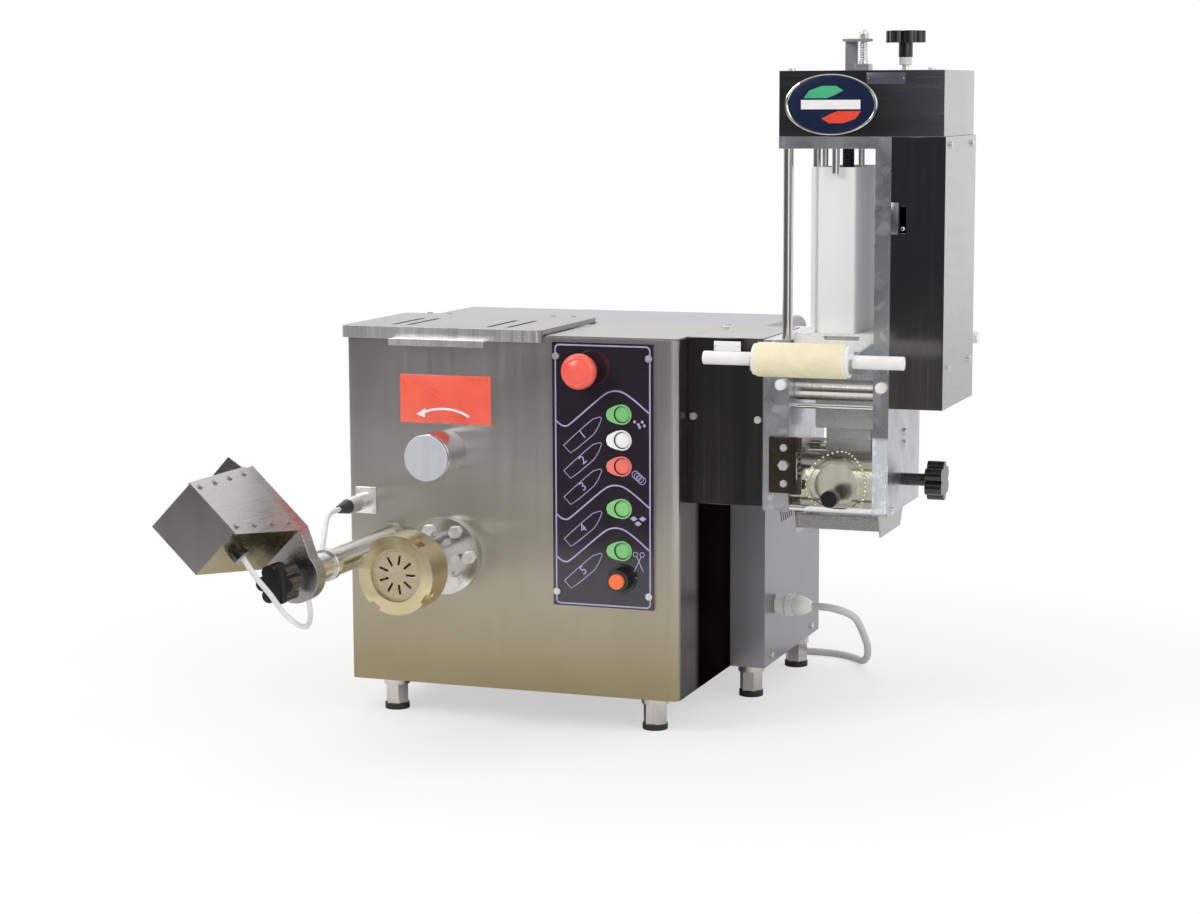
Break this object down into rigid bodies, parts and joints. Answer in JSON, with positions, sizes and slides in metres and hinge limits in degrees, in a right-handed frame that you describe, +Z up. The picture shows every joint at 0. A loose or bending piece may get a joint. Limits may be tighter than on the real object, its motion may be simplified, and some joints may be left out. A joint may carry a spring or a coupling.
{
  "type": "electric pasta maker",
  "caption": "Bench-top pasta machine: kneading tank with lid, extruder with ring nut, swinging cutter arm, control panel and a double-sheet ravioli unit on the side",
  "frame": {"origin": "centre of the footprint on the surface that the feet stand on", "axes": "+X to the machine's right seen from the front, +Y to the back, +Z up; the front faces -Y"},
  "size_m": [0.7431, 0.9595, 0.7868],
  "materials": {
    "housing_steel": "brushed stainless sheet",
    "lid_steel": "brushed stainless sheet, bright",
    "tower_steel": "brushed stainless sheet, dark reflections",
    "tank_steel": "satin stainless",
    "polished_steel": "polished stainless",
    "bolt_steel": "zinc-plated screws",
    "foot_steel": "turned stainless on rubber pads",
    "panel_black": "gloss black panel with a pale outline",
    "switch_plastic": "moulded switch bodies",
    "cap_red": "gloss red cap",
    "cap_green": "gloss green cap",
    "cap_white": "gloss white cap",
    "knob_black": "moulded black plastic",
    "label_enamel": "enamelled plates",
    "connector_metal": "plated connector",
    "die_bronze": "granular bronze",
    "nut_brass": "turned bronze, satin",
    "motor_paint": "grey motor paint",
    "chain_steel": "blackened steel",
    "cable_white": "white flexible sheath",
    "frame_aluminium": "milled plate with scratches",
    "hopper_aluminium": "smooth extruded aluminium",
    "cast_aluminium": "granular casting",
    "white_plastic": "food-grade white plastic",
    "roller_bronze": "bright bronze with polished edges",
    "bracket_bronze": "dark anodised plate",
    "clear_plastic": "clear polycarbonate",
    "gland_grey": "light grey nylon",
    "cord_grey": "grey rubber sheath",
    "plug_black": "moulded black plastic"
  },
  "bodies": {
    "machine": {"front_housing": "housing_steel", "rear_housing": "housing_steel", "base_plate": "housing_steel", "levelling_feet": "foot_steel", "top_cover": "housing_steel", "mixing_tank": "tank_steel", "control_panel": "panel_black", "button_bodies": "switch_plastic", "label_plates": "label_enamel", "cable_connector": "connector_metal", "extruder_barrel": "polished_steel", "fasteners": "bolt_steel", "die_insert": "die_bronze", "gear_motors": "motor_paint", "drive_chains": "chain_steel", "cutter_cable_rear": "cable_white", "link_box": "tower_steel", "tower_frame": "frame_aluminium", "tie_rods": "polished_steel", "head_cover": "tower_steel", "gear_cover": "tower_steel", "hopper": "hopper_aluminium", "hopper_base": "cast_aluminium", "roller_scrapers": "housing_steel", "guard_bracket": "bracket_bronze", "cord_gland": "gland_grey", "mains_cord": "cord_grey", "cord_coil": "cord_grey", "mains_plug": "plug_black"},
    "lid_body": {"lid": "lid_steel"},
    "mixer_button_cap": {"mixer_button": "cap_green"},
    "stop_button_cap": {"stop_button": "cap_white"},
    "extruder_button_cap": {"extruder_button": "cap_red"},
    "ravioli_button_cap": {"ravioli_button": "cap_green"},
    "cutter_button_cap": {"cutter_button": "cap_green"},
    "estop_cap": {"estop_button": "cap_red"},
    "speed_dial": {"speed_knob": "knob_black"},
    "mixer_cap": {"mixer_knob": "polished_steel"},
    "auger_shaft": {"auger": "tank_steel"},
    "paddle_shaft": {"mixing_paddle": "tank_steel"},
    "nut": {"ring_nut": "nut_brass"},
    "rod": {"arm_rod": "polished_steel"},
    "arm": {"cutter_arm": "polished_steel", "cutter_box": "housing_steel", "cutter_motor": "motor_paint", "cutter_cable_front": "cable_white"},
    "knife": {"cutter_knife": "polished_steel"},
    "arm_clamp": {"arm_knob": "knob_black"},
    "screw": {"lead_screw": "chain_steel"},
    "piston": {"plunger": "white_plastic"},
    "top_dial": {"top_knob": "knob_black"},
    "pin": {"stop_pin": "bolt_steel"},
    "front_mandrel_body": {"front_mandrel": "white_plastic"},
    "rear_mandrel_body": {"rear_mandrel": "white_plastic"},
    "front_feed_roller_body": {"front_feed_roller": "polished_steel"},
    "rear_feed_roller_body": {"rear_feed_roller": "polished_steel"},
    "front_mould": {"front_mould_roller": "roller_bronze"},
    "rear_mould": {"rear_mould_roller": "roller_bronze"},
    "guard_door": {"guard": "clear_plastic"},
    "side_dial": {"side_knob": "knob_black"}
  },
  "joints": [
    {"name": "lid_hinge", "type": "hinge", "parent": "machine", "child": "lid_body", "pos_m": [-0.203, 0.142, 0.453], "axis": [-1, 0, 0], "range_deg": [0, 95]},
    {"name": "mixer_button_press", "type": "slide", "parent": "machine", "child": "mixer_button_cap", "axis": [0, 1, 0], "range_m": [0, 0.0035], "stiffness_N_per_m": 300},
    {"name": "stop_button_press", "type": "slide", "parent": "machine", "child": "stop_button_cap", "axis": [0, 1, 0], "range_m": [0, 0.0035], "stiffness_N_per_m": 300},
    {"name": "extruder_button_press", "type": "slide", "parent": "machine", "child": "extruder_button_cap", "axis": [0, 1, 0], "range_m": [0, 0.0035], "stiffness_N_per_m": 300},
    {"name": "ravioli_button_press", "type": "slide", "parent": "machine", "child": "ravioli_button_cap", "axis": [0, 1, 0], "range_m": [0, 0.0035], "stiffness_N_per_m": 300},
    {"name": "cutter_button_press", "type": "slide", "parent": "machine", "child": "cutter_button_cap", "axis": [0, 1, 0], "range_m": [0, 0.0035], "stiffness_N_per_m": 300},
    {"name": "estop_press", "type": "slide", "parent": "machine", "child": "estop_cap", "axis": [0, 1, 0], "range_m": [0, 0.004], "stiffness_N_per_m": 500},
    {"name": "speed_turn", "type": "hinge", "parent": "machine", "child": "speed_dial", "pos_m": [0.014, -0.035, 0.178], "axis": [0, -1, 0], "range_deg": [-45, 225]},
    {"name": "mixer_cap_turn", "type": "hinge", "parent": "machine", "child": "mixer_cap", "pos_m": [-0.202, -0.065, 0.3125], "axis": [0, -1, 0], "continuous": true},
    {"name": "auger_turn", "type": "hinge", "parent": "machine", "child": "auger_shaft", "pos_m": [-0.202, 0.065, 0.1935], "axis": [0, 1, 0], "continuous": true},
    {"name": "paddle_turn", "type": "hinge", "parent": "machine", "child": "paddle_shaft", "pos_m": [-0.202, 0.065, 0.3125], "axis": [0, 1, 0], "continuous": true},
    {"name": "nut_turn", "type": "hinge", "parent": "machine", "child": "nut", "pos_m": [-0.202, -0.155, 0.1935], "axis": [0, -1, 0], "continuous": true},
    {"name": "rod_slide", "type": "slide", "parent": "machine", "child": "rod", "axis": [0, 1, 0], "range_m": [0, 0.07], "deforming": ["cutter_cable_rear"]},
    {"name": "arm_swing", "type": "hinge", "parent": "rod", "child": "arm", "pos_m": [-0.2705, -0.279, 0.207], "axis": [0, 1, 0], "range_deg": [0, 140.2], "deforming": ["cutter_cable_front"]},
    {"name": "knife_spin", "type": "hinge", "parent": "arm", "child": "knife", "pos_m": [-0.31444, -0.255, 0.26126], "axis": [0, 1, 0], "continuous": true},
    {"name": "clamp_turn", "type": "hinge", "parent": "rod", "child": "arm_clamp", "pos_m": [-0.2705, -0.315, 0.207], "axis": [0, -1, 0], "continuous": true},
    {"name": "screw_turn", "type": "hinge", "parent": "machine", "child": "screw", "pos_m": [0.2463, 0.059, 0.6], "axis": [0, 0, 1], "range_deg": [0, 2500]},
    {"name": "piston_slide", "type": "slide", "parent": "machine", "child": "piston", "axis": [0, 0, -1], "range_m": [0, 0.14]},
    {"name": "top_dial_turn", "type": "hinge", "parent": "machine", "child": "top_dial", "pos_m": [0.308, 0.065, 0.76], "axis": [0, 0, 1], "continuous": true},
    {"name": "pin_pull", "type": "slide", "parent": "machine", "child": "pin", "axis": [0, 0, 1], "range_m": [0, 0.01], "stiffness_N_per_m": 500},
    {"name": "front_mandrel_turn", "type": "hinge", "parent": "machine", "child": "front_mandrel_body", "pos_m": [0.247, -0.085, 0.436], "axis": [1, 0, 0], "continuous": true},
    {"name": "rear_mandrel_turn", "type": "hinge", "parent": "machine", "child": "rear_mandrel_body", "pos_m": [0.247, 0.235, 0.436], "axis": [1, 0, 0], "continuous": true},
    {"name": "front_feed_roller_turn", "type": "hinge", "parent": "machine", "child": "front_feed_roller_body", "pos_m": [0.247, 0.031, 0.392], "axis": [1, 0, 0], "continuous": true},
    {"name": "rear_feed_roller_turn", "type": "hinge", "parent": "machine", "child": "rear_feed_roller_body", "pos_m": [0.247, 0.119, 0.392], "axis": [1, 0, 0], "continuous": true},
    {"name": "front_mould_turn", "type": "hinge", "parent": "machine", "child": "front_mould", "pos_m": [0.247, 0.0387, 0.289], "axis": [1, 0, 0], "continuous": true},
    {"name": "rear_mould_turn", "type": "hinge", "parent": "machine", "child": "rear_mould", "pos_m": [0.247, 0.1113, 0.289], "axis": [1, 0, 0], "continuous": true},
    {"name": "guard_hinge", "type": "hinge", "parent": "machine", "child": "guard_door", "pos_m": [0.21, -0.007, 0.3], "axis": [0, 0, -1], "range_deg": [0, 110]},
    {"name": "side_dial_turn", "type": "hinge", "parent": "machine", "child": "side_dial", "pos_m": [0.317, 0.075, 0.2895], "axis": [1, 0, 0], "continuous": true}
  ],
  "couplings": [
    {"joint": "paddle_turn", "follows": "auger_turn", "ratio": 0.5},
    {"joint": "piston_slide", "follows": "screw_turn", "m_per_rad": 0.0031831},
    {"joint": "rear_mould_turn", "follows": "front_mould_turn", "ratio": -1}
  ]
}
